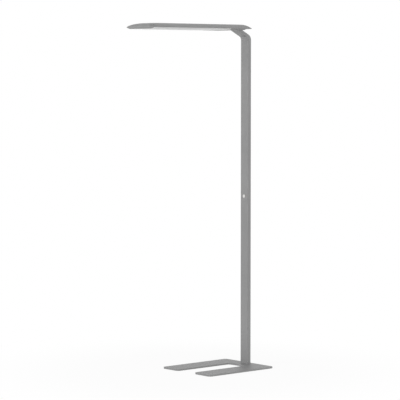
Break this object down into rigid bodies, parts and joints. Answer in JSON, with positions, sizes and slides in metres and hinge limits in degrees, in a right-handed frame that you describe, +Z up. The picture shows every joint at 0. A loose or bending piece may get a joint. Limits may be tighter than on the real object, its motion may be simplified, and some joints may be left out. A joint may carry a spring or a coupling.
{
  "type": "office floor lamp",
  "caption": "Slim office floor lamp with a U-shaped base, a flat rectangular pole, a short bent neck, a long lens-shaped light head and a push button on the pole.",
  "frame": {"origin": "centre of the lamp's bounding box at floor level, under the glides", "axes": "+Z up, -Y to the front, where the head and the base's two prongs reach, +X to the lamp's left as it faces front"},
  "size_m": [0.41, 0.82, 1.95],
  "materials": {
    "silver_paint_steel": "satin silver-grey powder coat",
    "silver_paint_aluminium": "satin silver-grey powder coat on aluminium",
    "bright_metal": "bright nickel",
    "steel": "zinc plated",
    "black_rubber": "matt moulded rubber",
    "grey_plastic": "moulded polyamide",
    "white_plastic": "moulded",
    "lead_sheath": "smooth PVC sheath",
    "opal_plastic": "satin opal acrylic",
    "frosted_plastic": "frosted acrylic",
    "bare_aluminium": "mill finish",
    "board": "white solder mask",
    "light_chip": "phosphor lens"
  },
  "bodies": {
    "lamp": {"base_bolts": "steel", "base_plate": "silver_paint_steel", "button_spring": "steel", "contact_block": "white_plastic", "control_lead": "lead_sheath", "cover_screws": "steel", "diffuser": "opal_plastic", "diffuser_retainers": "steel", "down_boards": "board", "down_chips": "light_chip", "driver": "white_plastic", "driver_screws": "steel", "foot_block": "steel", "foot_screws": "steel", "glides": "black_rubber", "head_tray": "silver_paint_aluminium", "inlet_bush": "grey_plastic", "inlet_nut": "grey_plastic", "inlet_seal": "black_rubber", "led_plate": "bare_aluminium", "mains_lead": "lead_sheath", "mount_plate": "steel", "mount_screws": "steel", "neck": "silver_paint_aluminium", "neck_screws": "steel", "output_lead": "lead_sheath", "plate_connector": "white_plastic", "plate_screws": "steel", "pole_tube": "silver_paint_aluminium", "switch_gasket": "black_rubber", "switch_housing": "bright_metal", "switch_nut": "steel", "terminal_block": "white_plastic", "terminal_screw": "steel", "top_cover": "silver_paint_aluminium", "up_boards": "board", "up_chips": "light_chip", "uplight_panel": "frosted_plastic"},
    "push_button": {"button": "bright_metal"}
  },
  "joints": [
    {"name": "button_press", "type": "slide", "parent": "lamp", "child": "push_button", "axis": [0, 1, 0], "range_m": [0, 0.0012], "stiffness_N_per_m": 600, "springref_m": -0.003, "deforming": ["button_spring"]}
  ]
}
